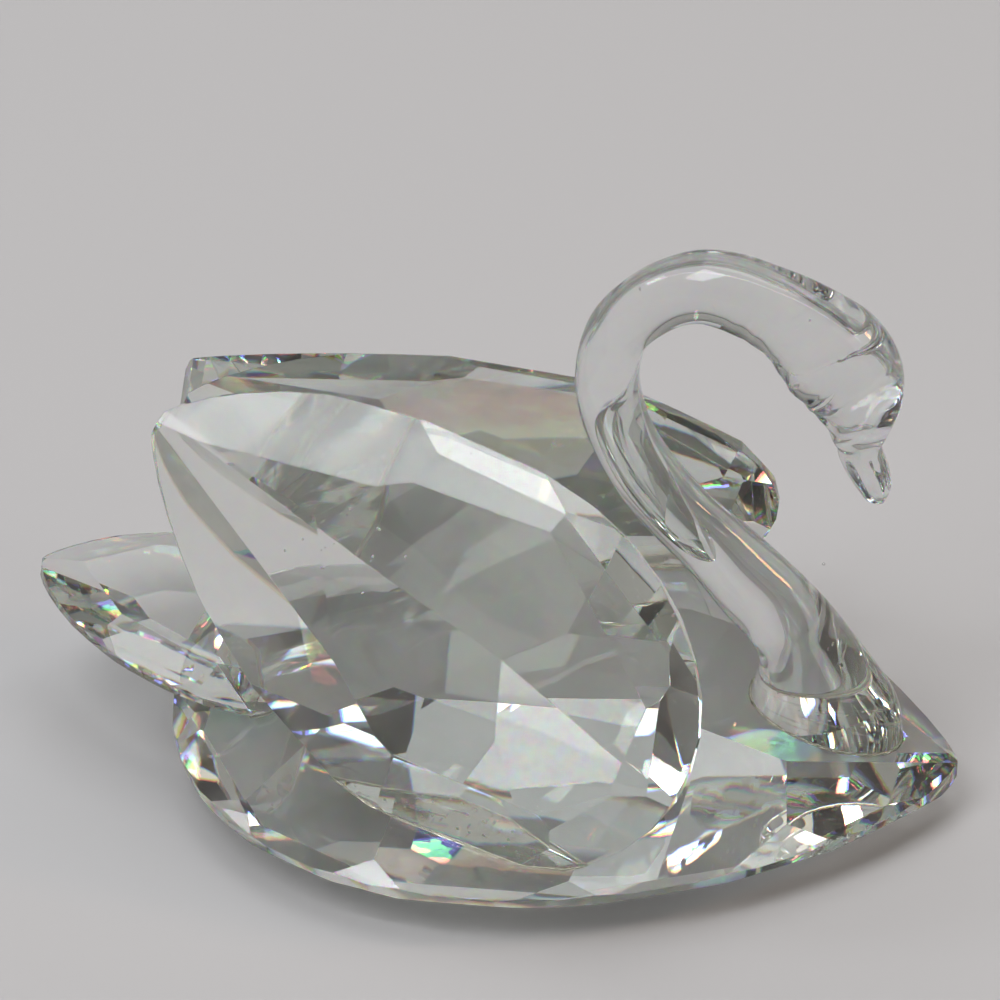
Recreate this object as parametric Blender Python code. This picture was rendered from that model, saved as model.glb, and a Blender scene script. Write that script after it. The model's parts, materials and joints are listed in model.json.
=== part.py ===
"""Cut crystal swan, 50 mm high, made of five clear crystals bonded together.

The body, the two wings and the tail are ground stones: each starts as a
pear-shaped blank, and flat facets are ground on it one plane at a time.
The neck, head and beak are one rod worked in a flame, lofted through sections.

The swan faces +X, its left side is +Y and it stands on z = 0.
Lengths are in metres and angles in degrees.
"""
import bpy
import bmesh
import numpy as np
from math import atan, cos, degrees, pi, radians, sin, tan
from mathutils import Matrix, Vector

# Bond line between two crystals
GLUE_GAP = 0.0003

# Body: a wide pear lying flat, point to the front
BODY_LENGTH = 0.0645
BODY_WIDTH = 0.0490
BODY_POINT = 0.50
BODY_GIRDLE_Z = 0.0038
BODY_GIRDLE_BAND = 0.0006
BODY_HEIGHT = 0.0115
BODY_BASE_INSET = 0.0046
BODY_STATIONS = (54, 81, 108, 135, 162)
BODY_CROWN_SLOPES = (34, 29, 24, 24, 24, 19)
BODY_TIP_BEVEL = 30

# Break facets are ground this much steeper than the facets they part
BREAK_SLOPE = 8

# Neck seat: a flat ground across the front of the body, falling to the front
SEAT_FROM_POINT = 0.0109
SEAT_HEIGHT = 0.0079
SEAT_FALL = 15

# Wings: pears on edge, points up and back, leaning together at the top
WING_LENGTH = 0.0511
WING_WIDTH = 0.0311
WING_POINT = 0.49
WING_GIRDLE_BAND = 0.0005
WING_CROWN = 0.0032
WING_PAVILION = 0.0064
WING_STATIONS = (72, 99, 144, 180)
WING_BEZEL_SLOPES = (21, 30, 30, 38)
WING_STEP_RISE = 0.85
WING_STEP_EASE = 0.6
WING_TIP_FACET = 0.0180
WING_TIP_BLUNT = 0.0005
WING_TIP_CROWN = 0.0014
WING_TIP_PAVILION = 0.0024
WING_TABLE_LEAN = 6
WING_CULET_FROM_TIP = 0.0285
WING_DIVE = 22.6
WING_SPLAY = 17.2
WING_LEAN = 21.6
WING_TIP_BEHIND_POINT = 0.0644
WING_TIP_FROM_MIDDLE = 0.0031
WING_SEAT_DEPTH = 0.0021

# Tail: a thin pear, point to the rear, its front ground to the body's rear facet
TAIL_LENGTH = 0.0306
TAIL_WIDTH = 0.0212
TAIL_POINT = 0.40
TAIL_GIRDLE_BAND = 0.0006
TAIL_CROWN = 0.0012
TAIL_PAVILION = 0.0026
TAIL_STATIONS = (63, 90, 126, 162)
TAIL_CROWN_SLOPE = 19
TAIL_PAVILION_SLOPE = 21
TAIL_RISE = 10.7
TAIL_OVERHANG = 0.0120
TAIL_SEAT_DEPTH = 0.0046

# Neck, from its foot to the beak: each section's centre forward of and above the
# foot's centre, and its half thickness in the swan's middle plane and across it
NECK_SECTIONS = (
    (-0.00020, -0.00210, 0.00645, 0.00435),
    (-0.00025, -0.00050, 0.00640, 0.00425),
    (-0.00050, 0.00130, 0.00605, 0.00410),
    (-0.00100, 0.00360, 0.00500, 0.00385),
    (-0.00190, 0.00620, 0.00390, 0.00350),
    (-0.00340, 0.00870, 0.00338, 0.00332),
    (-0.00632, 0.01180, 0.00322, 0.00322),
    (-0.00882, 0.01447, 0.00290, 0.00292),
    (-0.01232, 0.01777, 0.00268, 0.00270),
    (-0.01522, 0.02147, 0.00261, 0.00262),
    (-0.01694, 0.02467, 0.00255, 0.00255),
    (-0.01784, 0.02787, 0.00252, 0.00252),
    (-0.01792, 0.03107, 0.00250, 0.00250),
    (-0.01712, 0.03397, 0.00245, 0.00245),
    (-0.01512, 0.03647, 0.00254, 0.00250),
    (-0.01282, 0.03817, 0.00272, 0.00262),
    (-0.01042, 0.03892, 0.00290, 0.00275),
    (-0.00832, 0.03877, 0.00302, 0.00285),
    (-0.00597, 0.03807, 0.00318, 0.00300),
    (-0.00382, 0.03707, 0.00354, 0.00325),
    (-0.00197, 0.03567, 0.00405, 0.00360),
    (-0.00032, 0.03412, 0.00438, 0.00385),
    (0.00073, 0.03247, 0.00428, 0.00380),
    (0.00138, 0.03057, 0.00365, 0.00345),
    (0.00163, 0.02880, 0.00284, 0.00285),
    (0.00176, 0.02710, 0.00203, 0.00215),
    (0.00183, 0.02605, 0.00157, 0.00190),
    (0.00225, 0.02492, 0.00142, 0.00180),
    (0.00270, 0.02398, 0.00135, 0.00165),
    (0.00313, 0.02290, 0.00115, 0.00140),
    (0.00346, 0.02198, 0.00085, 0.00110),
    (0.00366, 0.02145, 0.00035, 0.00060),
)
NECK_RINGS_PER_SECTION = 2
NECK_SIDES = 24

# Facet count of the blanks' outlines, for each half
OUTLINE_SEGMENTS = 20
# Height of a blank before it is ground, far above and below any facet
BLANK_HALF_HEIGHT = 0.03
WELD = 1e-6


def clear_scene():
    for item in list(bpy.data.objects):
        bpy.data.objects.remove(item, do_unlink=True)


def crystal(name, roughness):
    """Clear lead crystal with the given polish."""
    material = bpy.data.materials.new(name)
    material.use_nodes = True
    shader = material.node_tree.nodes["Principled BSDF"]
    shader.inputs["Base Color"].default_value = (0.96, 0.97, 0.97, 1.0)
    shader.inputs["Roughness"].default_value = roughness
    shader.inputs["Metallic"].default_value = 0.0
    shader.inputs["IOR"].default_value = 1.545
    shader.inputs["Transmission Weight"].default_value = 1.0
    return material


def pear_half_width(angle, width, point):
    """Half width of a pear at an outline angle: sine times a power of the half sine.

    The angle is 0 at the point and 180 at the round end; a larger `point`
    draws the pear's point out longer.
    """
    grid = np.radians(np.arange(1.0, 180.0))
    widest = (np.sin(grid) * np.sin(grid / 2) ** point).max()
    turn = radians(angle)
    return 0.5 * width * max(sin(turn), 0.0) * sin(turn / 2) ** point / widest


def pear_at(angle, length, width, point):
    """Outline point at an angle from -180 to 180; its sign is the side of the axis."""
    x = 0.5 * length * (1 - cos(radians(angle)))
    y = pear_half_width(abs(angle), width, point)
    return Vector((x, y if angle >= 0 else -y))


def pear_outline(length, width, point):
    step = 180 / OUTLINE_SEGMENTS
    angles = [step * k for k in range(OUTLINE_SEGMENTS + 1)]
    angles += [-step * k for k in range(OUTLINE_SEGMENTS - 1, 0, -1)]
    return [pear_at(angle, length, width, point) for angle in angles]


def blank(outline):
    """Upright prism of the outline, long enough for every facet to cut it."""
    stone = bmesh.new()
    ring = [stone.verts.new((p.x, p.y, -BLANK_HALF_HEIGHT)) for p in outline]
    base = stone.faces.new(ring)
    top = bmesh.ops.extrude_face_region(stone, geom=[base])
    risen = [item for item in top["geom"] if isinstance(item, bmesh.types.BMVert)]
    bmesh.ops.translate(stone, verts=risen, vec=(0, 0, 2 * BLANK_HALF_HEIGHT))
    bmesh.ops.recalc_face_normals(stone, faces=stone.faces)
    return stone


def grind(stone, point, normal):
    """Grind one flat facet: all that lies beyond the plane goes, and the cut is closed."""
    geometry = stone.verts[:] + stone.edges[:] + stone.faces[:]
    bmesh.ops.bisect_plane(
        stone, geom=geometry, dist=WELD,
        plane_co=point, plane_no=normal, clear_outer=True)
    rim = [edge for edge in stone.edges if edge.is_boundary]
    if rim:
        bmesh.ops.contextual_create(stone, geom=rim)


def outward(start, end, middle):
    """Level unit vector square to a chord, pointing away from the stone's middle."""
    chord = (end - start).normalized()
    normal = Vector((chord.y, -chord.x))
    return normal if normal.dot(start - middle) > 0 else -normal


def tangent_point(outline, normal):
    """The outline point that lies furthest along a level direction."""
    return max(outline, key=lambda p: p.dot(normal))


def grind_slope(stone, touch, height, normal, slope, side, tip=None, tip_height=0.0):
    """Grind a facet that slopes inwards from the stone's edge.

    It touches the edge at `touch`, `height` above the girdle plane (side 1) or
    below it (side -1). With a tip given, the facet also climbs along the edge,
    so that it meets the tip at a height of its own.
    """
    fall = normal * tan(radians(slope))
    if tip is not None:
        back = tip - touch
        along = back - normal * back.dot(normal)
        climb = (tip_height - height + back.dot(fall)) / along.length
        fall = fall - along.normalized() * climb
    grind(stone, (touch.x, touch.y, side * height), (fall.x, fall.y, side))


def facet_chords(stations, pear):
    """Pairs of outline points round the stone, from station to station."""
    angles = [0.0] + list(stations)
    chords = []
    for number, (first, last) in enumerate(zip(angles, angles[1:])):
        for side in (1, -1):
            chords.append((number, pear_at(side * first, *pear), pear_at(side * last, *pear)))
    if angles[-1] < 180:
        last = angles[-1]
        chords.append((len(angles) - 1, pear_at(last, *pear), pear_at(-last, *pear)))
    return chords


def break_directions(stations, pear, middle):
    """Level directions of the small break facets that point at the stations."""
    found = []
    for number, (_, start, end) in enumerate(facet_chords(stations, pear)):
        found.append((start, end, outward(start, end, middle)))
    directions = []
    for station in stations:
        if station >= 180:
            continue
        for side in (1, -1):
            corner = pear_at(side * station, *pear)
            touching = [n for a, b, n in found
                        if (a - corner).length < WELD or (b - corner).length < WELD]
            directions.append((corner, sum(touching, Vector((0, 0))).normalized()))
    return directions


def body_frame():
    """Places the body's stone: point to the front at x = 0, girdle at its height."""
    return Matrix.Translation((0, 0, BODY_GIRDLE_Z)) @ Matrix.Rotation(pi, 4, "Z")


def body_facet_plane(number):
    """Point and normal of one crown facet of the body, on the swan's right side."""
    pear = (BODY_LENGTH, BODY_WIDTH, BODY_POINT)
    middle = Vector((BODY_LENGTH / 2, 0))
    chords = [c for c in facet_chords(BODY_STATIONS, pear) if c[0] == number]
    _, start, end = chords[0]
    normal = outward(start, end, middle)
    touch = tangent_point(pear_outline(*pear), normal)
    tilt = radians(BODY_CROWN_SLOPES[number])
    facing = Vector((normal.x * sin(tilt), normal.y * sin(tilt), cos(tilt)))
    place = Vector((touch.x, touch.y, BODY_GIRDLE_BAND / 2))
    return body_frame() @ place, body_frame().to_3x3() @ facing


def seat_plane():
    """Point and normal of the neck's seat, on the swan's middle plane."""
    tilt = radians(SEAT_FALL)
    return Vector((-SEAT_FROM_POINT, 0, SEAT_HEIGHT)), Vector((sin(tilt), 0, cos(tilt)))


def cut_body():
    """Body: flat base, lower bevel, girdle band, crown facets, top table and neck seat."""
    pear = (BODY_LENGTH, BODY_WIDTH, BODY_POINT)
    outline = pear_outline(*pear)
    middle = Vector((BODY_LENGTH / 2, 0))
    stone = blank(outline)
    band = BODY_GIRDLE_BAND / 2
    under = degrees(atan((BODY_GIRDLE_Z - band) / BODY_BASE_INSET))
    for number, start, end in facet_chords(BODY_STATIONS, pear):
        normal = outward(start, end, middle)
        touch = tangent_point(outline, normal)
        grind_slope(stone, touch, band, normal, BODY_CROWN_SLOPES[number], 1)
        grind_slope(stone, touch, band, normal, under, -1)
    for number, (corner, normal) in enumerate(break_directions(BODY_STATIONS, pear, middle)):
        steep = BODY_CROWN_SLOPES[number // 2] + BREAK_SLOPE
        grind_slope(stone, corner, band, normal, steep, 1)
        grind_slope(stone, corner, band, normal, under + BREAK_SLOPE, -1)
    grind_slope(stone, Vector((0, 0)), band, Vector((-1, 0)), BODY_TIP_BEVEL, -1)
    stone.transform(body_frame())
    grind(stone, (0, 0, 0), (0, 0, -1))
    grind(stone, (0, 0, BODY_HEIGHT), (0, 0, 1))
    grind(stone, *seat_plane())
    return stone


def cut_wing_stone():
    """Wing in its own frame: x from tip to round end, y up its width, z outwards."""
    pear = (WING_LENGTH, WING_WIDTH, WING_POINT)
    outline = pear_outline(*pear)
    middle = Vector((WING_LENGTH / 2, 0))
    culet = Vector((WING_CULET_FROM_TIP, 0))
    lean = radians(WING_TABLE_LEAN)
    band = WING_GIRDLE_BAND / 2
    stone = blank(outline)
    for number, start, end in facet_chords(WING_STATIONS, pear):
        normal = outward(start, end, middle)
        touch = tangent_point(outline, normal)
        slope = WING_BEZEL_SLOPES[number]
        step = WING_STEP_RISE * (WING_CROWN - touch.y * tan(lean))
        inset = touch - normal * (step / tan(radians(slope)))
        back = degrees(atan(WING_PAVILION / (touch - culet).dot(normal)))
        tip = start if number == 0 else None
        grind_slope(stone, touch, band, normal, slope, 1, tip, WING_TIP_CROWN)
        grind_slope(stone, inset, band + step, normal, WING_STEP_EASE * slope, 1)
        grind_slope(stone, touch, band, normal, back, -1, tip, WING_TIP_PAVILION)
    for corner, normal in break_directions(WING_STATIONS, pear, middle):
        back = degrees(atan(WING_PAVILION / (corner - culet).dot(normal)))
        grind_slope(stone, corner, band, normal, WING_BEZEL_SLOPES[-1] + BREAK_SLOPE, 1)
        grind_slope(stone, corner, band, normal, back + BREAK_SLOPE, -1)
    ridge = degrees(atan((WING_CROWN + band - WING_TIP_CROWN) / WING_TIP_FACET))
    grind_slope(stone, Vector((0, 0)), WING_TIP_CROWN, Vector((-1, 0)), ridge, 1)
    grind(stone, (WING_TIP_BLUNT, 0, 0), (-1, 0, 0))
    grind(stone, (WING_CULET_FROM_TIP, 0, band + WING_CROWN), (0, sin(lean), cos(lean)))
    return stone


def right_wing_axes():
    """World axes of the right wing: along it, up its width, and outwards."""
    dive, splay, lean = radians(WING_DIVE), radians(WING_SPLAY), radians(WING_LEAN)
    along = Vector((cos(dive) * cos(splay), -sin(splay), -sin(dive) * cos(splay)))
    level_up = Vector((-along.z, 0, along.x)).normalized()
    level_out = along.cross(level_up)
    up = level_up * cos(lean) - level_out * sin(lean)
    out = level_out * cos(lean) + level_up * sin(lean)
    return along, up, out


def cut_right_wing():
    """Right wing in place, its lower edge ground to sit on the body's side facet."""
    stone = cut_wing_stone()
    along, up, out = right_wing_axes()
    frame = Matrix((along, up, out)).transposed().to_4x4()
    frame.translation = Vector((-WING_TIP_BEHIND_POINT, -WING_TIP_FROM_MIDDLE, 0))
    stone.transform(frame)
    face, normal = body_facet_plane(2)
    if normal.y > 0:
        face.y, normal.y = -face.y, -normal.y
    face = face + normal * GLUE_GAP
    lowest = min((v.co - face).dot(normal) for v in stone.verts)
    drop = (-WING_SEAT_DEPTH - lowest) / normal.z
    bmesh.ops.translate(stone, verts=stone.verts, vec=(0, 0, drop))
    grind(stone, face, -normal)
    return stone


def mirrored(stone):
    """Left-hand copy of a right-hand stone."""
    twin = stone.copy()
    twin.transform(Matrix.Scale(-1, 4, (0, 1, 0)))
    bmesh.ops.reverse_faces(twin, faces=twin.faces)
    return twin


def cut_tail():
    """Tail: thin pear, crown up, its underside ground to the body's rear facet."""
    pear = (TAIL_LENGTH, TAIL_WIDTH, TAIL_POINT)
    outline = pear_outline(*pear)
    middle = Vector((TAIL_LENGTH / 2, 0))
    stone = blank(outline)
    band = TAIL_GIRDLE_BAND / 2
    for number, start, end in facet_chords(TAIL_STATIONS, pear):
        normal = outward(start, end, middle)
        touch = tangent_point(outline, normal)
        grind_slope(stone, touch, band, normal, TAIL_CROWN_SLOPE, 1)
        grind_slope(stone, touch, band, normal, TAIL_PAVILION_SLOPE, -1)
    for corner, normal in break_directions(TAIL_STATIONS, pear, middle):
        grind_slope(stone, corner, band, normal, TAIL_CROWN_SLOPE + BREAK_SLOPE, 1)
        grind_slope(stone, corner, band, normal, TAIL_PAVILION_SLOPE + BREAK_SLOPE, -1)
    grind(stone, (0, 0, band + TAIL_CROWN), (0, 0, 1))
    grind(stone, (0, 0, -band - TAIL_PAVILION), (0, 0, -1))
    stone.transform(Matrix.Rotation(radians(TAIL_RISE), 4, "Y"))
    bmesh.ops.translate(stone, verts=stone.verts, vec=(-BODY_LENGTH - TAIL_OVERHANG, 0, 0))
    face, normal = body_facet_plane(len(BODY_STATIONS))
    face = face + normal * GLUE_GAP
    lowest = min((v.co - face).dot(normal) for v in stone.verts)
    drop = (-TAIL_SEAT_DEPTH - lowest) / normal.z
    bmesh.ops.translate(stone, verts=stone.verts, vec=(0, 0, drop))
    grind(stone, face, -normal)
    return stone


def smooth_rows(rows, steps):
    """Cubic curve through the rows, with a slope at each row set by its neighbours."""
    rows = np.array(rows)
    strides = np.linalg.norm(np.diff(rows[:, :2], axis=0), axis=1)
    knots = np.concatenate([[0], np.cumsum(strides)])
    slopes = np.gradient(rows, knots, axis=0)
    curve = []
    for k, span in enumerate(strides):
        for step in range(steps):
            t = step / steps
            curve.append(
                (1 + 2 * t) * (1 - t) ** 2 * rows[k]
                + t * (1 - t) ** 2 * span * slopes[k]
                + t * t * (3 - 2 * t) * rows[k + 1]
                + t * t * (t - 1) * span * slopes[k + 1])
    curve.append(rows[-1])
    return np.array(curve)


def draw_neck():
    """Neck, head and beak: one loft of oval rings, its foot ground to the body's seat."""
    seat, normal = seat_plane()
    foot = seat + normal * GLUE_GAP
    curve = smooth_rows(NECK_SECTIONS, NECK_RINGS_PER_SECTION)
    heading = np.gradient(curve[:, :2], axis=0)
    heading /= np.linalg.norm(heading, axis=1)[:, None]
    rod = bmesh.new()
    rings = []
    for (x, z, thick, wide), (ahead, rise) in zip(curve, heading):
        centre = foot + Vector((x, 0, z))
        across = Vector((rise, 0, -ahead))
        ring = []
        for side in range(NECK_SIDES):
            around = 2 * pi * side / NECK_SIDES
            place = centre + across * (thick * cos(around)) + Vector((0, wide * sin(around), 0))
            ring.append(rod.verts.new(place))
        rings.append(ring)
    for lower, upper in zip(rings, rings[1:]):
        for side in range(NECK_SIDES):
            after = (side + 1) % NECK_SIDES
            rod.faces.new((lower[side], lower[after], upper[after], upper[side]))
    rod.faces.new(rings[0])
    rod.faces.new(rings[-1])
    bmesh.ops.recalc_face_normals(rod, faces=rod.faces)
    grind(rod, foot, -normal)
    return rod


def finish(name, stone, material, smooth_angle):
    """Make the object of a finished crystal; edges sharper than the angle stay crisp."""
    bmesh.ops.remove_doubles(stone, verts=stone.verts, dist=5 * WELD)
    bmesh.ops.dissolve_degenerate(stone, edges=stone.edges, dist=WELD)
    mesh = bpy.data.meshes.new(name)
    stone.to_mesh(mesh)
    stone.free()
    mesh.materials.append(material)
    if smooth_angle > 0:
        mesh.shade_smooth()
        mesh.set_sharp_from_angle(angle=radians(smooth_angle))
    item = bpy.data.objects.new(name, mesh)
    bpy.context.scene.collection.objects.link(item)
    return item


def centre_on_origin(parts):
    """Stand the swan on z = 0 with its bounding box centred over the origin."""
    bpy.context.view_layer.update()
    corners = [part.matrix_world @ Vector(c) for part in parts for c in part.bound_box]
    middle = (min(c.x for c in corners) + max(c.x for c in corners)) / 2
    stand = bpy.data.objects.new("swan", None)
    bpy.context.scene.collection.objects.link(stand)
    stand.location = (-middle, 0, 0)
    for part in parts:
        part.parent = stand


def main():
    clear_scene()
    cut = crystal("cut_crystal", 0.0)
    flame = crystal("flame_worked_crystal", 0.02)
    wing = cut_right_wing()
    parts = [
        finish("body", cut_body(), cut, 0),
        finish("wing_left", mirrored(wing), cut, 0),
        finish("wing_right", wing, cut, 0),
        finish("tail", cut_tail(), cut, 0),
        finish("neck", draw_neck(), flame, 40),
    ]
    centre_on_origin(parts)


main()
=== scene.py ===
# %% [markdown]
# # A cut-crystal swan
# Five clear crystals make this swan: four ground stones (body, two wings, tail) and one
# neck drawn in a flame. Clear glass has no colour of its own, so nearly all of its look
# is the exact place of each facet and what the light around it does. The lesson goes in
# that order: the frame, the stage and light, the glass, then the crystals one by one.

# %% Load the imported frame
import json
from math import radians

import bmesh
import bpy
import numpy as np
from mathutils import Matrix, Vector

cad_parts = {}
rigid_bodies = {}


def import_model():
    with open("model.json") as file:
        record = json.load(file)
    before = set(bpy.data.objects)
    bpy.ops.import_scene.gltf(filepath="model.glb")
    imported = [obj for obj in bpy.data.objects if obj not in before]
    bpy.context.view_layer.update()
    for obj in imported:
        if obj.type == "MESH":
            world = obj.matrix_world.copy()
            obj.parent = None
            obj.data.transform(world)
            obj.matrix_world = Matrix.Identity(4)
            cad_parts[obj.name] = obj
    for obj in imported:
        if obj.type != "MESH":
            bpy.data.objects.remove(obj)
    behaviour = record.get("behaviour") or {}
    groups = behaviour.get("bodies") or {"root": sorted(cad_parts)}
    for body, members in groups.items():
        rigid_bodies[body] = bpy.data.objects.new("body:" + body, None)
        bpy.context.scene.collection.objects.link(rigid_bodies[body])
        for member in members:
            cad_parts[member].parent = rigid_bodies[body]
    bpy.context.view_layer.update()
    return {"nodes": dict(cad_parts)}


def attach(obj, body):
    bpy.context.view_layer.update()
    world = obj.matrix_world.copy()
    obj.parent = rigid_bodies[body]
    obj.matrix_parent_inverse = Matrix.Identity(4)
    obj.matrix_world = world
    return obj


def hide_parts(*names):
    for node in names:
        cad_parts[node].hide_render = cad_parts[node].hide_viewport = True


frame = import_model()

nodes = frame["nodes"]

MM = 0.001


# %% [markdown]
# ## Small helpers
# Colours are written as sRGB hex values, the way paint charts and image editors give
# them, and turned to the linear values that Blender's shaders work in.

# %% Helpers for colours, nodes and meshes
def linear(code):
    """sRGB hex to linear RGBA: divide by 12.92 near black, else a 2.4 power curve."""
    srgb = np.array([int(code[i:i + 2], 16) for i in (1, 3, 5)]) / 255
    channels = np.where(srgb <= 0.04045, srgb / 12.92, ((srgb + 0.055) / 1.055) ** 2.4)
    return (*channels, 1.0)


def add(tree, kind, settings=(), **links):
    """Add a shader node; a setting is an attribute, a fixed input or a socket to wire in."""
    node = tree.nodes.new(kind)
    for name, value in dict(settings).items():
        if isinstance(value, bpy.types.NodeSocket):
            tree.links.new(value, node.inputs[name])
        elif isinstance(name, str) and hasattr(node, name) and name not in node.inputs:
            setattr(node, name, value)
        else:
            node.inputs[name].default_value = value
    for name, source in links.items():
        tree.links.new(source, node.inputs[name.replace("_", " ")])
    return node


def blank_material(name):
    """A named material with an empty node tree but for its output."""
    material = bpy.data.materials.new(name)
    material.use_nodes = True
    tree = material.node_tree
    tree.nodes.clear()
    return material, tree, tree.nodes.new("ShaderNodeOutputMaterial")


def make_piece(name, points, faces, material, smooth=False):
    """Mesh object at the origin from arrays of points (metres) and corner numbers."""
    mesh = bpy.data.meshes.new(name)
    mesh.from_pydata(np.asarray(points).tolist(), [], [list(map(int, f)) for f in faces])
    mesh.materials.append(material)
    mesh.validate()
    mesh.polygons.foreach_set("use_smooth", [smooth] * len(mesh.polygons))
    piece = bpy.data.objects.new(name, mesh)
    bpy.context.scene.collection.objects.link(piece)
    return piece


# %% [markdown]
# ## Camera
# A hand-held close-up from the swan's front right, looking down at 36 degrees. The lens
# is long and far away, so the facets keep nearly parallel edges.

# %% Camera
AZIMUTH, ELEVATION, ROLL = radians(14.3), radians(35.9), radians(-0.7)
IMAGE_PIXELS, FOCAL_PIXELS, MM_PER_PIXEL = 1000, 4585, 0.079
TARGET = Vector((0.85, 0.0, 24.65)) * MM
DISTANCE = FOCAL_PIXELS * MM_PER_PIXEL * MM
SENSOR = 36.0

back = Vector((
    np.sin(AZIMUTH) * np.cos(ELEVATION),
    -np.cos(AZIMUTH) * np.cos(ELEVATION),
    np.sin(ELEVATION)))
camera_data = bpy.data.cameras.new("camera")
camera_data.sensor_width = SENSOR
camera_data.lens = FOCAL_PIXELS * SENSOR / IMAGE_PIXELS
camera_data.clip_start = 0.01
camera = bpy.data.objects.new("camera", camera_data)
bpy.context.scene.collection.objects.link(camera)
camera.location = TARGET + back * DISTANCE
camera.rotation_euler = (
    back.to_track_quat("Z", "Y").to_matrix().to_4x4() @ Matrix.Rotation(ROLL, 4, "Z")
).to_euler()
bpy.context.scene.camera = camera
bpy.context.scene.view_settings.view_transform = "Standard"
print("lens %.0f mm at %.0f mm" % (camera_data.lens, DISTANCE / MM))

# %% [markdown]
# ## Stage and light
# Clear glass is drawn by contrast: it needs bright and dark places around it. The floor
# and the low sky are pale and the upper room is dark, so that each facet shows either
# floor, dark ceiling or a lamp. The lamps stand where the photograph's bright facets
# mirror them: a large soft one high at the left, a wide dim window behind, a long ceiling
# tube for the thin line along the neck, and a small warm bulb for amber glints. A lamp
# that a facet mirrors whole is kept dim, or that facet would clip to white.

# %% Floor
FLOOR_HALF = 2.5
FLOOR_DROP = 0.15 * MM


def build_floor():
    """Pale matt paper, FLOOR_DROP below the stones so that the two surfaces never meet."""
    material, tree, out = blank_material("pale_paper_floor")
    shader = add(tree, "ShaderNodeBsdfPrincipled", {
        "Base Color": linear("#c1c1c2"), "Roughness": 0.9, "Specular IOR Level": 0.1})
    tree.links.new(shader.outputs[0], out.inputs["Surface"])
    half, low = FLOOR_HALF, -FLOOR_DROP
    corners = [(-half, -half, low), (half, -half, low), (half, half, low), (-half, half, low)]
    floor = make_piece("floor", corners, [(0, 1, 2, 3)], material)
    print("floor %.0f m wide" % (2 * half))


build_floor()


# %% Surroundings
# Height (0 is the horizon, 1 straight up) and colour of the two ends of the sky.
PALE_WALLS = (0.12, "#a19f9b")
DARK_CEILING = (0.50, "#2e2b29")
SKY_STRENGTH = 0.9


def build_world():
    """Sky colour by height: pale near the horizon, dark in the upper room."""
    world = bpy.data.worlds.new("studio")
    world.use_nodes = True
    tree = world.node_tree
    tree.nodes.clear()
    out = tree.nodes.new("ShaderNodeOutputWorld")
    where = add(tree, "ShaderNodeTexCoord")
    split = add(tree, "ShaderNodeSeparateXYZ", Vector=where.outputs["Generated"])
    ramp = add(tree, "ShaderNodeValToRGB", Fac=split.outputs["Z"])
    for end, (height, code) in zip(ramp.color_ramp.elements, (PALE_WALLS, DARK_CEILING)):
        end.position, end.color = height, linear(code)
    sky = add(tree, "ShaderNodeBackground", {"Strength": SKY_STRENGTH},
              Color=ramp.outputs["Color"])
    tree.links.new(sky.outputs[0], out.inputs["Surface"])
    bpy.context.scene.world = world
    print("sky from", PALE_WALLS[1], "to", DARK_CEILING[1])


build_world()


# %% [markdown]
# ## Lamps
# Small photo lamps could be points, but a facet mirrors a lamp whole, so its outline
# shows. Flat rectangular panels are used, like softboxes and windows. Each is placed by
# the direction it is seen in from the swan, because that is what a facet mirrors.

# %% Lamps
def add_lamp(name, azimuth, elevation, distance, size, glow, tint):
    """Soft panel seen from the swan at two angles; glow is its brightness, 1 is white."""
    data = bpy.data.lights.new(name, "AREA")
    data.shape = "RECTANGLE"
    data.size, data.size_y = size
    data.energy = glow * np.pi * size[0] * size[1]
    data.color = linear(tint)[:3]
    lamp = bpy.data.objects.new(name, data)
    bpy.context.scene.collection.objects.link(lamp)
    turn, rise = radians(azimuth), radians(elevation)
    away = Vector((np.cos(turn) * np.cos(rise), np.sin(turn) * np.cos(rise), np.sin(rise)))
    lamp.location = TARGET + away * distance
    lamp.rotation_euler = away.to_track_quat("Z", "Y").to_euler()
    print(name, "%.1f W" % data.energy)


# Name, azimuth and elevation in degrees, distance and size in metres, glow, tint.
for lamp in (
        ("left_softbox", -125, 61, 1.0, (0.40, 0.62), 5.6, "#fdfdff"),
        ("ceiling_tube", -92, 74, 1.05, (3.00, 0.04), 5.0, "#ffffff"),
        ("overhead_softbox", 75, 74, 1.1, (0.90, 0.70), 2.5, "#fefefe"),
        ("window_behind", 110, 36, 1.1, (1.10, 0.60), 0.50, "#f8f8fc"),
        ("far_side_lamp", -170, 33, 1.0, (0.18, 0.24), 6.5, "#fbfbff"),
        ("right_wall", -18, 36, 1.2, (0.80, 0.55), 0.8, "#fff6ea"),
        ("warm_bulb", 15, 30, 0.9, (0.12, 0.12), 17.0, "#ffc590")):
    add_lamp(*lamp)

# %% [markdown]
# ## Light paths
# The render follows each ray for a set number of turns and then drops it, which leaves
# dark facets if the number is low. It was chosen by comparing small renders.

# %% Light paths
# Light turns many times inside a cut stone before it leaves, so the limits go up.
TURNS = 20
cycles = bpy.context.scene.cycles
# Tried with 12, 20 and 40 turns: 12 changes some facets, 40 looks the same as 20.
cycles.max_bounces = cycles.transmission_bounces = TURNS
cycles.transparent_max_bounces = 24
cycles.glossy_bounces = 12
cycles.diffuse_bounces = 2
# Seven lamps are few: picking among them evenly is a fifth faster than the light tree.
cycles.use_light_tree = False
print("light turns:", cycles.max_bounces)

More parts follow.
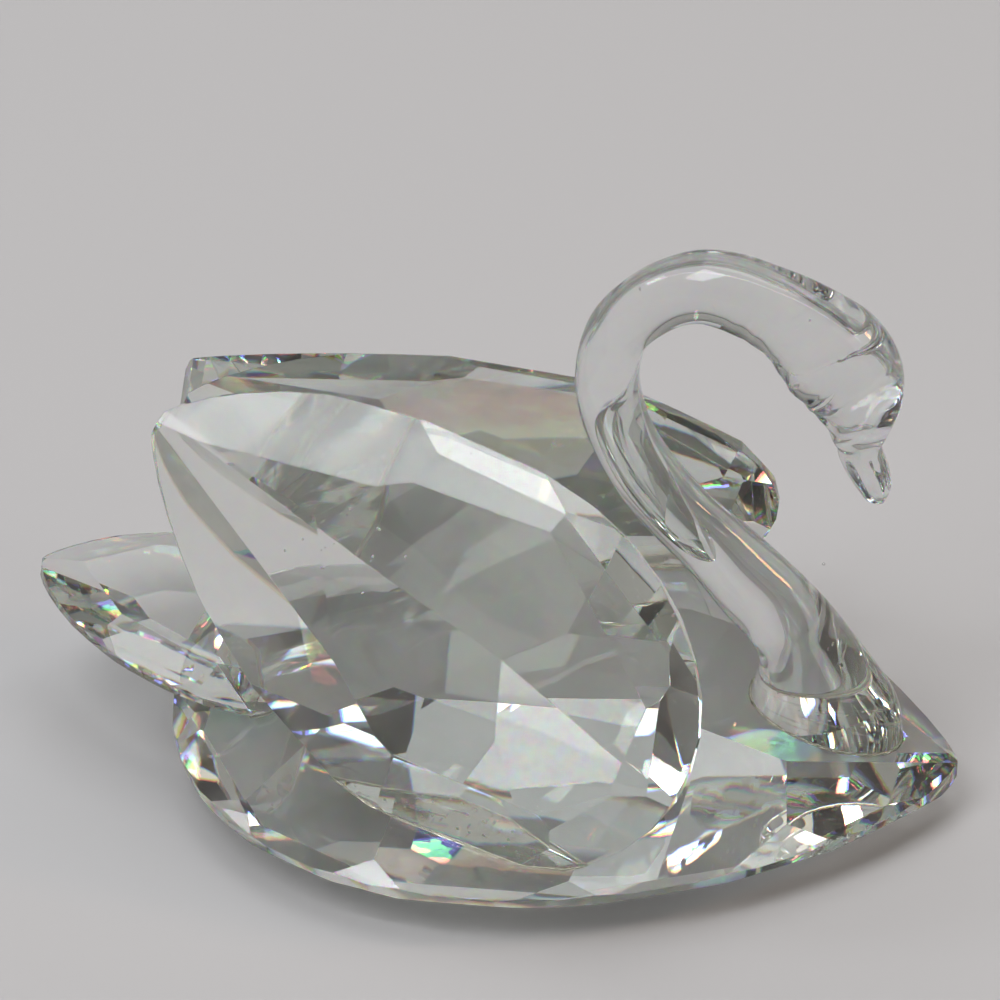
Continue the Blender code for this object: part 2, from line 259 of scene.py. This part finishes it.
# %% [markdown]
# ## The glass
# Lead crystal bends light strongly (index near 1.55) and bends blue more than red, which
# gives the coloured sparks, its fire. Where a ray first meets the glass, it takes one of
# three glass shaders, each leaning to one primary colour and with an index of its own.
# Where their paths agree they add up to white, and where they part there is colour. The
# index spread is wider than in real crystal, because only this first surface splits the
# light: inside, one plain glass carries the ray on, or the picture would drown in noise.
# Polishing leaves the facets wavy by a few thousandths of a millimetre, and handling
# leaves a faint smear here and there. Dust and a thin film lie on the first surface only.

# %% Lead crystal
CRYSTAL_INDEX = 1.548
# How far each of the three glasses leans to its own primary: 0 is white, 1 is pure.
PURITY = 0.55
PRIMARY_SHIFTS = (-0.45, 0.0, 0.55)
GRAIN_SPACING, FILM_PATCH, SMEAR_PATCH = 0.45, 5, 7


def dust_layer(tree, where):
    """Share and shader of fine dust: grains 0.05 to 0.08 mm wide, and a film in patches."""
    grains = add(tree, "ShaderNodeTexVoronoi", {"Scale": 1 / (GRAIN_SPACING * MM)},
                 Vector=where.outputs["Object"])
    grain = add(tree, "ShaderNodeMapRange",
                {"From Min": 0.085, "From Max": 0.055, "To Min": 0.0, "To Max": 0.45},
                Value=grains.outputs["Distance"])
    patches = add(tree, "ShaderNodeTexNoise",
                  {"Scale": 1 / (FILM_PATCH * MM), "Detail": 4.0}, Vector=where.outputs["Object"])
    film = add(tree, "ShaderNodeMapRange",
               {"From Min": 0.35, "From Max": 0.75, "To Min": 0.04, "To Max": 0.15},
               Value=patches.outputs["Fac"])
    both = add(tree, "ShaderNodeMath", {
        "operation": "MAXIMUM", 0: grain.outputs["Result"], 1: film.outputs["Result"]})
    dust = add(tree, "ShaderNodeBsdfDiffuse", {"Color": linear("#e8e6e2")})
    return both.outputs[0], dust.outputs[0]


def lead_crystal(name, tint, fire, wave_size, wave_depth):
    """Clear crystal: fire spreads the indices, waves have a size and depth in mm."""
    material, tree, out = blank_material(name)
    where = add(tree, "ShaderNodeTexCoord")
    waves = add(tree, "ShaderNodeTexNoise", {"Scale": 1 / (wave_size * MM), "Detail": 1.5},
                Vector=where.outputs["Object"])
    bump = add(tree, "ShaderNodeBump", {"Strength": 1.0, "Distance": wave_depth * MM},
               Height=waves.outputs["Fac"])
    smears = add(tree, "ShaderNodeTexNoise",
                 {"Scale": 1 / (SMEAR_PATCH * MM), "Detail": 3.0}, Vector=where.outputs["Object"])
    haze = add(tree, "ShaderNodeMapRange",
               {"From Min": 0.60, "From Max": 0.75, "To Min": 0.0, "To Max": 0.02},
               Value=smears.outputs["Fac"])

    polish = {"Roughness": haze.outputs["Result"], "Normal": bump.outputs["Normal"]}
    full = linear(tint)
    primaries = []
    for keep, shift in enumerate(PRIMARY_SHIFTS):
        colour = [(1 - PURITY) * part for part in full[:3]] + [1.0]
        colour[keep] += 3 * PURITY * full[keep]
        primary = add(tree, "ShaderNodeBsdfGlass", {
            "Color": colour, "IOR": CRYSTAL_INDEX + shift * fire, **polish})
        primaries.append(primary.outputs[0])

    pair = add(tree, "ShaderNodeMixShader", {0: 1 / 2, 1: primaries[0], 2: primaries[1]})
    split = add(tree, "ShaderNodeMixShader", {
        0: 1 / 3, 1: pair.outputs[0], 2: primaries[2]})
    share, dust = dust_layer(tree, where)
    dusty = add(tree, "ShaderNodeMixShader", {0: share, 1: split.outputs[0], 2: dust})
    inner = add(tree, "ShaderNodeBsdfGlass", {
        "Color": full, "IOR": CRYSTAL_INDEX, **polish})
    path = add(tree, "ShaderNodeLightPath")
    outside = add(tree, "ShaderNodeMath", {
        "operation": "LESS_THAN", 0: path.outputs["Ray Depth"], 1: 0.5})
    surface = add(tree, "ShaderNodeMixShader", {
        0: outside.outputs[0], 1: inner.outputs[0], 2: dusty.outputs[0]})
    tree.links.new(surface.outputs[0], out.inputs["Surface"])
    print(name, "index %.3f, fire %.3f" % (CRYSTAL_INDEX, fire))
    return material


cut_crystal = lead_crystal("lead_crystal_ground_and_polished", "#fbfcfb", 0.030, 3.0, 0.0035)
flame_crystal = lead_crystal("lead_crystal_drawn_in_flame", "#fafbfb", 0.014, 4.5, 0.012)


# %% [markdown]
# ## Joints, chips and cement
# Where two crystals are cemented, the index hardly changes and the faces vanish, so they
# are simply transparent. A fresh chip and a squeezed-out bead scatter light, so they are
# glass with roughness and a fine bump.

# %% Small finishes
def joined_face():
    """Glass to glass through clear cement: light goes straight on, nothing is seen."""
    material, tree, out = blank_material("cemented_joint_clear")
    clear = add(tree, "ShaderNodeBsdfTransparent", {"Color": linear("#fafaf8")})
    tree.links.new(clear.outputs[0], out.inputs["Surface"])
    return material


def rough_glass(name, tint, roughness, index, grain_size, grain_depth):
    """Glass with a fine broken surface: grain of a size and depth in mm."""
    material, tree, out = blank_material(name)
    where = add(tree, "ShaderNodeTexCoord")
    grain = add(tree, "ShaderNodeTexNoise", {"Scale": 1 / (grain_size * MM), "Detail": 4.0},
                Vector=where.outputs["Object"])
    bump = add(tree, "ShaderNodeBump", {"Strength": 1.0, "Distance": grain_depth * MM},
               Height=grain.outputs["Fac"])
    shader = add(tree, "ShaderNodeBsdfGlass",
                 {"Color": linear(tint), "Roughness": roughness, "IOR": index},
                 Normal=bump.outputs["Normal"])
    tree.links.new(shader.outputs[0], out.inputs["Surface"])
    print(name, "index %.3f, roughness %.2f" % (index, roughness))
    return material


joint = joined_face()
chip_glass = rough_glass("lead_crystal_fresh_chip", "#f6f7f7", 0.12, 1.545, 0.25, 0.03)
cement_bead = rough_glass("acrylic_cement_bead", "#f3f1ea", 0.10, 1.49, 0.5, 0.08)
milky_bead = rough_glass("acrylic_cement_bead_frosted", "#f7f6f2", 0.45, 1.49, 0.3, 0.10)

# %% [markdown]
# ## The ground stones
# Each stone keeps the planes of the solid model. Its copy is merged back into whole flat
# facets, and a bevel set in by 0.07 mm breaks each edge, as the polishing felt does.
# A wing, the tail or the neck is cemented to a facet of the body. In the solid model a
# gap of 0.3 mm stands for the cement; here the two facing facets become a clear joint, so
# that light runs from stone to stone, as it does in the real one.

# %% Merge and read the stones
EDGE_BREAK = 0.07 * MM
JOINT_GAP = (0.2 * MM, 0.4 * MM)


def merged(node_name):
    """Whole facets again: doubles merged, then flat neighbours dissolved."""
    work = bmesh.new()
    work.from_mesh(nodes[node_name].data)
    bmesh.ops.remove_doubles(work, verts=work.verts, dist=0.002 * MM)
    bmesh.ops.dissolve_limit(
        work, angle_limit=radians(0.5), verts=work.verts, edges=work.edges)
    bmesh.ops.recalc_face_normals(work, faces=work.faces)
    return work


def on_plane(face, point, normal, slack=0.004 * MM):
    """True when a face lies in the plane through point with this normal."""
    reach = abs((face.calc_center_median() - point).dot(normal))
    return face.normal.dot(normal) > 0.9999 and reach < slack


def find_seat(work, carrier):
    """The stone's face that looks at a face of its carrier across the cement gap."""
    for face in work.faces:
        for other in carrier.faces:
            if face.normal.dot(other.normal) < -0.9995:
                gap = (face.calc_center_median() - other.verts[0].co).dot(other.normal)
                if JOINT_GAP[0] < gap < JOINT_GAP[1]:
                    return face.calc_center_median(), other.normal.copy(), gap
    raise RuntimeError("no seat")


works = {name: merged(name) for name in ("body", "wing_left", "wing_right", "tail", "neck")}
seats = {name: find_seat(works[name], works["body"]) for name in works if name != "body"}
for name, (middle, normal, gap) in seats.items():
    print(name, "sits on a facet leaning", tuple(round(v, 2) for v in normal),
          "gap %.2f mm" % (gap / MM))


# %% Break the edges, mark the joints
def break_edges(work):
    """One-segment bevel on every edge sharper than 4 degrees."""
    sharp = [edge for edge in work.edges
             if len(edge.link_faces) == 2 and edge.calc_face_angle(0) > radians(4)]
    bmesh.ops.bevel(work, geom=sharp, offset=EDGE_BREAK, segments=1, profile=0.5,
                    affect="EDGES", clamp_overlap=True)
    bmesh.ops.recalc_face_normals(work, faces=work.faces)


def outline_of(face):
    """The corners of a face, in order."""
    return [vert.co.copy() for vert in face.verts]


def holds(face, normal, point):
    """True when the point is inside the flat convex face: left of every edge."""
    corners = [vert.co for vert in face.verts]
    return all((b - a).cross(point - a).dot(normal) > -1e-12
               for a, b in zip(corners, corners[1:] + corners[:1]))


def imprint(work, outline, normal):
    """Cut a convex outline into the facet it lies in and mark what is inside it."""
    middle = sum(outline, Vector()) / len(outline)
    for start, end in zip(outline, outline[1:] + outline[:1]):
        face = next(f for f in work.faces
                    if on_plane(f, middle, normal) and holds(f, normal, middle))
        outside = (end - start).cross(normal)
        if outside.dot(middle - start) > 0:
            outside.negate()
        parts = [face] + list(face.edges) + list(face.verts)
        bmesh.ops.bisect_plane(work, geom=parts, plane_co=start, plane_no=outside, dist=1e-8)
    face = next(f for f in work.faces
                if on_plane(f, middle, normal) and holds(f, normal, middle))
    face.material_index = 1
    return face.calc_area()


for name, work in works.items():
    if name != "neck":
        break_edges(work)
outlines = {}
for name, (middle, normal, gap) in seats.items():
    seat = max((f for f in works[name].faces if on_plane(f, middle, -normal)),
               key=lambda f: f.calc_area())
    seat.material_index = 1
    outlines[name] = outline_of(seat)


# %% Turn the stones into pieces
def stone_piece(work, piece_name, node_name, materials):
    """Mesh object from a finished bmesh, riding on the root in place of its solid."""
    mesh = bpy.data.meshes.new(piece_name)
    work.to_mesh(mesh)
    work.free()
    for material in materials:
        mesh.materials.append(material)
    piece = bpy.data.objects.new(piece_name, mesh)
    bpy.context.scene.collection.objects.link(piece)
    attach(piece, "root")
    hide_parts(node_name)
    print(piece_name, len(mesh.polygons), "faces")


for name in ("wing_left", "wing_right", "tail"):
    stone_piece(works[name], "cut_" + name, name, (cut_crystal, joint))
works["neck"].free()

# %% [markdown]
# ## The body and its chips
# The front rim at the swan's right has small shell-shaped chips, the damage that lead
# crystal gets when it is set down hard. Each chip is a small ellipsoid taken away from
# the rim with a Boolean, which leaves the curved hollow that glass really breaks with.

# %% Body with chips
CHIP_SPAN = ((29.0, 38.2), (-12.5, -0.3))
CHIP_COUNT, CHIP_SEED = 26, 31
CHIP_RADIUS, CHIP_STRETCH = (0.10, 0.34), (0.6, 1.5)


def ellipsoids(centres, radii, rows=7, columns=10):
    """Closed ellipsoids as one mesh: rings of latitude between two poles, whole arrays."""
    up = np.linspace(0, np.pi, rows + 2)[1:-1]
    turn = np.arange(columns) * 2 * np.pi / columns
    ring = np.stack([
        np.outer(np.sin(up), np.cos(turn)), np.outer(np.sin(up), np.sin(turn)),
        np.outer(np.cos(up), np.ones(columns))], axis=-1).reshape(-1, 3)
    unit = np.concatenate([[[0, 0, 1]], ring, [[0, 0, -1]]])
    points = (centres[:, None, :] + unit[None] * radii[:, None, :]).reshape(-1, 3)
    one = np.arange(columns)
    after = (one + 1) % columns
    last = rows * columns + 1
    faces = [(0, 1 + a, 1 + b) for a, b in zip(one, after)]
    faces += [(1 + r * columns + a, 1 + (r + 1) * columns + a,
               1 + (r + 1) * columns + b, 1 + r * columns + b)
              for r in range(rows - 1) for a, b in zip(one, after)]
    faces += [(last, last - columns + b, last - columns + a) for a, b in zip(one, after)]
    step = len(unit)
    every = [tuple(corner + k * step for corner in face)
             for k in range(len(centres)) for face in faces]
    return points, every


def rim_points(work, count, seed):
    """Points on the upper edge of the girdle inside CHIP_SPAN, drawn at random."""
    draw = np.random.default_rng(seed)
    (x_low, x_high), (y_low, y_high) = CHIP_SPAN
    edges = []
    for edge in work.edges:
        a, b = (np.array(v.co) / MM for v in edge.verts)
        middle = (a + b) / 2
        if (x_low < middle[0] < x_high and y_low < middle[1] < y_high
                and abs(a[2] - b[2]) < 0.2 and 3.2 < middle[2] < 4.8
                and np.linalg.norm(a - b) > 0.5):
            edges.append((a, b))
    edges = np.array(edges)
    picks = draw.integers(0, len(edges), count)
    along = draw.random(count)[:, None]
    return edges[picks, 0] * (1 - along) + edges[picks, 1] * along, draw


def take_chips(work, count, seed):
    """Scoop the ellipsoids out of the rim; the hollows keep the chip material."""
    rim, draw = rim_points(work, count, seed)
    sizes = draw.uniform(*CHIP_RADIUS, (count, 1)) * draw.uniform(*CHIP_STRETCH, (count, 3))
    outward = rim * [1, 1, 0] / np.linalg.norm(rim[:, :2], axis=1)[:, None]
    centres = rim + outward * sizes[:, :1] * 0.35 + [0, 0, 0.05]
    points, faces = ellipsoids(centres * MM, sizes * MM)
    scoops = make_piece("chip_shapes", points, faces, chip_glass, smooth=True)
    mesh = bpy.data.meshes.new("plain_body")
    work.to_mesh(mesh)
    for material in (cut_crystal, joint, chip_glass):
        mesh.materials.append(material)
    block = bpy.data.objects.new("plain_body", mesh)
    bpy.context.scene.collection.objects.link(block)
    cutter = block.modifiers.new("chips", "BOOLEAN")
    cutter.operation, cutter.solver, cutter.object = "DIFFERENCE", "EXACT", scoops
    cutter.material_mode = "TRANSFER"
    cutter.use_self = True
    shape = block.evaluated_get(bpy.context.evaluated_depsgraph_get())
    chipped = shape.to_mesh()
    print("chipped body:", len(chipped.polygons), "faces")
    work.clear()
    work.from_mesh(chipped)
    shape.to_mesh_clear()
    bpy.data.objects.remove(block)
    bpy.data.objects.remove(scoops)


body_work = works["body"]
print("open edges of the body:", sum(len(e.link_faces) != 2 for e in body_work.edges))
take_chips(body_work, CHIP_COUNT, CHIP_SEED)
for name, outline in outlines.items():
    normal, gap = seats[name][1:]
    area = imprint(body_work, [corner - normal * gap for corner in outline], normal)
    print("%s is cemented over %.0f square mm" % (name, area / MM ** 2))
stone_piece(body_work, "cut_body", "body", (cut_crystal, joint, chip_glass))

# %% [markdown]
# ## The neck
# The neck, head and beak were drawn out of one hot rod: a smooth tube of changing oval
# section, pinched flat at the beak, with dents from the pliers on the cheeks and fine
# ripples at the throat. It is a surface of two parameters: how far along the rod, and the
# angle around it.

# %% Rod along its path
# Each row: forward and up from the foot, then the half widths in the swan's middle plane
# and across it, all in mm.
FOOT = np.array([27.42, 0.0, 7.90])
NECK_ROWS = np.array([
    (-0.20, -2.10, 6.45, 4.35), (-0.25, -0.50, 6.40, 4.25), (-0.50, 1.30, 6.05, 4.10),
    (-1.00, 3.60, 5.00, 3.85), (-1.90, 6.20, 3.90, 3.50), (-3.40, 8.70, 3.38, 3.32),
    (-6.32, 11.80, 3.22, 3.22), (-8.82, 14.47, 2.90, 2.92), (-12.32, 17.77, 2.68, 2.70),
    (-15.22, 21.47, 2.61, 2.62), (-16.94, 24.67, 2.55, 2.55), (-17.84, 27.87, 2.52, 2.52),
    (-17.92, 31.07, 2.50, 2.50), (-17.12, 33.97, 2.45, 2.45), (-15.12, 36.47, 2.54, 2.50),
    (-12.82, 38.17, 2.72, 2.62), (-10.42, 38.92, 2.90, 2.75), (-8.32, 38.77, 3.02, 2.85),
    (-5.97, 38.07, 3.18, 3.00), (-3.82, 37.07, 3.54, 3.25), (-1.97, 35.67, 4.05, 3.60),
    (-0.32, 34.12, 4.38, 3.85), (0.73, 32.47, 4.28, 3.80), (1.38, 30.57, 3.65, 3.45),
    (1.63, 28.80, 2.84, 2.85), (1.76, 27.10, 2.03, 2.15), (1.83, 26.05, 1.57, 1.90),
    (2.25, 24.92, 1.42, 1.80), (2.70, 23.98, 1.35, 1.65), (3.13, 22.90, 1.15, 1.40),
    (3.46, 21.98, 0.85, 1.10), (3.66, 21.45, 0.35, 0.60)])
RINGS_PER_ROW, SIDES = 11, 96


def smooth_rows(rows, steps):
    """Cubic curve through the rows; each row's slope comes from its neighbours."""
    strides = np.linalg.norm(np.diff(rows[:, :2], axis=0), axis=1)
    knots = np.concatenate([[0], np.cumsum(strides)])
    slopes = np.gradient(rows, knots, axis=0)
    span = np.diff(knots)[:, None, None]
    t = (np.arange(steps) / steps)[None, :, None]
    start, end = rows[:-1, None], rows[1:, None]
    curve = ((1 + 2 * t) * (1 - t) ** 2 * start + t * (1 - t) ** 2 * span * slopes[:-1, None]
             + t * t * (3 - 2 * t) * end + t * t * (t - 1) * span * slopes[1:, None])
    return np.concatenate([curve.reshape(-1, rows.shape[1]), rows[-1:]])


def bell(distance, width):
    """Bell curve: 1 at distance 0, falling to 0.37 at one width."""
    return np.exp(-(distance / width) ** 2)


curve = smooth_rows(NECK_ROWS, RINGS_PER_ROW)
path, half = curve[:, :2], curve[:, 2:]
heading = np.gradient(path, axis=0)
heading /= np.linalg.norm(heading, axis=1)[:, None]
along = np.concatenate([[0], np.cumsum(np.linalg.norm(np.diff(path, axis=0), axis=1))])
print("rod length %.1f mm" % along[-1])


def along_at(row):
    """Distance along the rod, in mm, of a place counted in rows of the table."""
    return np.interp(row * RINGS_PER_ROW, np.arange(len(along)), along)


# %% Marks of the pliers and the flame
# Angle 0 faces the inside of the crook, the throat; a half turn away is the back. Dents
# are bells over the surface; creases are bells about a slanting line. Dents: row, angle,
# length in mm, width in radians, depth in mm. Creases: row, angle, slant, reach, width
# and depth.
s, a = np.meshgrid(along, np.arange(SIDES) * 2 * np.pi / SIDES, indexing="ij")
to_side = np.minimum(abs(np.angle(np.exp(1j * (a - np.pi / 2)))),
                     abs(np.angle(np.exp(1j * (a + np.pi / 2)))))
beak = 1 / (1 + np.exp(-(s - along_at(25.6)) / 0.5))
raised = 0.030 * np.sin(2.1 * s / 3.1 + 1.3 * np.sin(a)) * np.sin(a * 2 + s / 9)
for row, angle, length, width, depth in (
        (17.4, 0.30, 0.55, 0.45, 0.10), (17.9, -0.25, 0.40, 0.50, -0.12),
        (18.3, 0.35, 0.40, 0.45, 0.12), (18.8, -0.15, 0.45, 0.50, -0.12),
        (19.5, -0.70, 0.60, 0.35, -0.22), (20.3, -1.10, 0.70, 0.35, 0.16),
        (20.8, -0.10, 0.80, 0.50, 0.14), (22.0, -0.45, 0.80, 0.30, -0.30),
        (23.2, -0.85, 0.75, 0.28, -0.50), (24.2, -0.50, 0.65, 0.30, -0.38),
        (23.0, 0.80, 0.75, 0.30, -0.45), (24.3, 0.60, 0.60, 0.32, -0.36),
        (23.7, -1.75, 0.70, 0.34, -0.42), (23.9, 1.80, 0.75, 0.34, -0.42),
        (24.9, -1.25, 0.50, 0.30, 0.22), (24.9, 1.25, 0.50, 0.30, 0.22),
        (25.4, -0.10, 0.35, 0.70, -0.14), (25.5, 3.05, 0.35, 0.80, -0.16)):
    turn = np.angle(np.exp(1j * (a - angle)))
    raised += depth * bell(s - along_at(row), length) * bell(turn, width)
for row, angle, slant, reach, width, depth in (
        (21.6, -1.35, 2.2, 0.55, 0.22, -0.20), (22.9, -1.30, -2.6, 0.50, 0.20, 0.16),
        (24.3, -1.45, 1.4, 0.45, 0.18, -0.18), (20.1, -0.95, 3.0, 0.40, 0.20, -0.14),
        (21.8, 1.40, 2.0, 0.55, 0.22, -0.20), (23.2, 1.30, -2.4, 0.50, 0.20, 0.16)):
    turn = np.angle(np.exp(1j * (a - angle)))
    raised += depth * bell(s - along_at(row) - slant * turn, width) * bell(turn, reach)
flat = 1 - 0.13 * beak * bell(to_side, 0.55)

# %% Neck piece
power = 2 + 1.4 * beak
round_off = (abs(np.cos(a)) ** power + abs(np.sin(a)) ** power) ** (-1 / power)
thick = (half[:, :1] + raised) * round_off * flat
wide = (half[:, 1:] + raised) * round_off * flat
x = path[:, :1] + heading[:, 1:] * thick * np.cos(a)
z = path[:, 1:] - heading[:, :1] * thick * np.cos(a)
grid = np.stack([x, wide * np.sin(a), z], axis=-1)
seat_middle, seat_normal, seat_gap = seats["neck"]
grid += FOOT + np.array(seat_normal) * seat_gap / MM
ring = np.arange(SIDES)
after = (ring + 1) % SIDES
lower = (np.arange(len(curve) - 1) * SIDES)[:, None]
quads = np.stack([lower + ring, lower + after, lower + SIDES + after, lower + SIDES + ring], -1)
faces = quads.reshape(-1, 4).tolist()
faces += [ring.tolist(), (ring + (len(curve) - 1) * SIDES).tolist()]
rod = bmesh.new()
corners = [rod.verts.new(p) for p in grid.reshape(-1, 3) * MM]
for face in faces:
    rod.faces.new([corners[k] for k in face])
bmesh.ops.recalc_face_normals(rod, faces=rod.faces)
for face in rod.faces:
    face.smooth = True
below = bmesh.ops.bisect_plane(
    rod, geom=rod.verts[:] + rod.edges[:] + rod.faces[:], plane_co=seat_middle,
    plane_no=-seat_normal, clear_outer=True)
rim_edges = [part for part in below["geom_cut"] if isinstance(part, bmesh.types.BMEdge)]
foot_face = bmesh.ops.contextual_create(rod, geom=rim_edges)["faces"][0]
foot_face.smooth = False
foot_face.material_index = 1
for edge in rim_edges:
    edge.smooth = False
bmesh.ops.recalc_face_normals(rod, faces=rod.faces)
stone_piece(rod, "drawn_neck", "neck", (flame_crystal, joint))

# %% [markdown]
# ## Cement
# The cement fills the gap as a thin clear film. It isn't perfect: specks of dust, cloudy
# places under the tail, and a bead that was squeezed out along the rim and set there with
# a ragged edge. The film is a flat closed slab inside each joint, and the bead is a tube
# carried round the joint's outline, thicker and thinner by smooth random waves.

# %% Film material
def cement_film(name, cloud, speck_share, streaks):
    """Clear film with specks 0.2 to 0.3 mm wide, wiped streaks and milky patches."""
    material, tree, out = blank_material(name)
    where = add(tree, "ShaderNodeTexCoord")
    dots = add(tree, "ShaderNodeTexVoronoi", {"Scale": 1 / (0.9 * MM)},
               Vector=where.outputs["Object"])
    speck = add(tree, "ShaderNodeMapRange",
                {"From Min": speck_share, "From Max": speck_share * 0.6,
                 "To Min": 0.0, "To Max": 0.85}, Value=dots.outputs["Distance"])
    patches = add(tree, "ShaderNodeTexNoise", {"Scale": 1 / (3.2 * MM), "Detail": 7.0,
                                               "Roughness": 0.62},
                  Vector=where.outputs["Object"])
    milk = add(tree, "ShaderNodeMapRange",
               {"From Min": 0.58, "From Max": 0.72, "To Min": 0.0, "To Max": cloud},
               Value=patches.outputs["Fac"])
    drawn = add(tree, "ShaderNodeMapping", {"Rotation": (0, 0, radians(-35)),
                                            "Scale": (1 / (4 * MM), 1 / (0.35 * MM), 0)},
                Vector=where.outputs["Object"])
    wiped = add(tree, "ShaderNodeTexNoise", {"Scale": 1.0, "Detail": 3.0},
                Vector=drawn.outputs["Vector"])
    streak = add(tree, "ShaderNodeMapRange",
                 {"From Min": 0.60, "From Max": 0.72, "To Min": 0.0, "To Max": streaks},
                 Value=wiped.outputs["Fac"])
    marks = add(tree, "ShaderNodeMath", {
        "operation": "MAXIMUM", 0: speck.outputs["Result"], 1: streak.outputs["Result"]})
    both = add(tree, "ShaderNodeMath", {
        "operation": "MAXIMUM", 0: marks.outputs[0], 1: milk.outputs["Result"]})
    clear = add(tree, "ShaderNodeBsdfTransparent", {"Color": linear("#fdfdfc")})
    white = add(tree, "ShaderNodeBsdfPrincipled", {
        "Base Color": linear("#e9e8e4"), "Roughness": 0.7})
    mixed = add(tree, "ShaderNodeMixShader", {
        0: both.outputs[0], 1: clear.outputs[0], 2: white.outputs[0]})
    tree.links.new(mixed.outputs[0], out.inputs["Surface"])
    return material


clear_film = cement_film("acrylic_cement_film", 0.45, 0.17, 0.5)
milky_film = cement_film("acrylic_cement_film_milky", 0.8, 0.18, 0.3)


# %% [markdown]
# ## Laying the cement
# A film or bead could be modelled by hand, but every joint has its own outline. Both are
# computed from the seat's outline instead, so that they fit whichever facet they sit on.

# %% Films and beads
OUTLINE_STEPS, BEAD_SIDES, BEAD_WAVES = 240, 10, 34


def resample(outline, count):
    """Points at equal steps along a closed outline."""
    closed = np.concatenate([outline, outline[:1]])
    walk = np.concatenate([[0], np.cumsum(np.linalg.norm(np.diff(closed, axis=0), axis=1))])
    steps = np.linspace(0, walk[-1], count, endpoint=False)
    return np.stack([np.interp(steps, walk, closed[:, k]) for k in range(3)], axis=1), walk[-1]


def ragged(count, seed, waves):
    """Smooth random wave round a closed line, mean 0 and spread 1: a sum of sines."""
    draw = np.random.default_rng(seed)
    turn = np.arange(count) * 2 * np.pi / count
    orders = np.arange(2, waves)
    sizes = draw.normal(size=len(orders)) / np.sqrt(orders)
    phases = draw.uniform(0, 2 * np.pi, len(orders))
    wave = (sizes[:, None] * np.sin(orders[:, None] * turn + phases[:, None])).sum(0)
    return wave / wave.std()


def lay_cement(name, seed, film_material, swell=0.0):
    """Film slab in the joint and bead round it; swell thickens the bead's rear end."""
    normal, gap = np.array(seats[name][1]), seats[name][2]
    count = OUTLINE_STEPS
    line, length = resample(np.array(outlines[name]) - normal * gap / 2, count)
    centre = line.mean(0)
    tangent = np.roll(line, -1, 0) - np.roll(line, 1, 0)
    tangent = (tangent + np.roll(tangent, 1, 0) + np.roll(tangent, -1, 0)) / 3
    side = np.cross(tangent, normal)
    side /= np.linalg.norm(side, axis=1)[:, None]
    side *= np.sign(((line - centre) * side).sum(1))[:, None]
    wave = ragged(count, seed, BEAD_WAVES)
    inner = line - side * (0.25 + 0.09 * wave[:, None]) * MM
    slab = np.concatenate([inner - normal * gap * 0.15, inner + normal * gap * 0.15])
    ring, after = np.arange(count), (np.arange(count) + 1) % count
    faces = [ring[::-1].tolist(), (ring + count).tolist()]
    faces += [(a, b, b + count, a + count) for a, b in zip(ring, after)]
    film = make_piece("cement_film_" + name, slab, faces, film_material)
    sides = BEAD_SIDES
    angle = np.arange(sides) * 2 * np.pi / sides
    rear = bell(line[:, 0] - line[:, 0].min(), 1.5 * MM)
    radius = gap * (0.50 + 0.10 * np.clip(wave, -2, 2.5) + swell * rear)[:, None, None]
    middle_line = line + side * 0.02 * MM
    tube = (middle_line[:, None] + side[:, None] * np.cos(angle)[None, :, None] * radius
            + normal * np.sin(angle)[None, :, None] * np.minimum(radius, gap * 0.47))
    near = (np.arange(count) * sides)[:, None]
    far = (after * sides)[:, None]
    turn, onward = np.arange(sides), (np.arange(sides) + 1) % sides
    quads = np.stack([near + turn, near + onward, far + onward, far + turn], -1)
    bead = make_piece("cement_bead_" + name, tube.reshape(-1, 3), quads.reshape(-1, 4),
                      milky_bead if swell else cement_bead, smooth=True)
    for piece in (film, bead):
        fresh = bmesh.new()
        fresh.from_mesh(piece.data)
        bmesh.ops.recalc_face_normals(fresh, faces=fresh.faces)
        fresh.to_mesh(piece.data)
        fresh.free()
        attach(piece, "root")
    print("%s: bead %.0f mm long" % (name, length / MM))


lay_cement("wing_right", 5, clear_film)
lay_cement("wing_left", 6, clear_film)
lay_cement("tail", 8, milky_film, swell=1.6)
lay_cement("neck", 9, clear_film)

# %% [markdown]
# ## Seeds
# Tiny air bubbles, which glassmakers call seeds, sit inside the near wing and the neck.
# A bubble is a sphere of air in glass, so its shader's index is air over crystal.

# %% Seeds
# Middle and spread of each cloud in mm, and how many bubbles it has.
SEED_RADIUS = (0.05, 0.13)
SEEDS = (
    ((-8.8, -10.1, 26.6), (2.6, 1.3, 2.4), 16),
    ((12.54, 0.0, 46.1), (0.05, 0.05, 0.05), 1),
    ((24.96, 0.0, 45.25), (0.05, 0.05, 0.05), 1),
    ((8.2, -8.6, 30.4), (0.1, 0.1, 0.1), 1),
    ((25.4, -0.6, 14.5), (1.2, 1.0, 3.5), 5))


def place_seeds():
    """Small spheres scattered in bell-shaped clouds, their radii drawn evenly."""
    draw = np.random.default_rng(12)
    centres = np.concatenate([
        np.array(middle) + draw.normal(size=(count, 3)) * spread
        for middle, spread, count in SEEDS])
    sizes = draw.uniform(*SEED_RADIUS, (len(centres), 1)) * np.ones((1, 3))
    points, faces = ellipsoids(centres * MM, sizes * MM, rows=5, columns=8)
    air = rough_glass("air_seed_in_crystal", "#ffffff", 0.0, 1 / CRYSTAL_INDEX, 0.3, 0.0)
    seeds = make_piece("air_seeds", points, faces, air, smooth=True)
    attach(seeds, "root")
    print(len(centres), "seeds")


place_seeds()
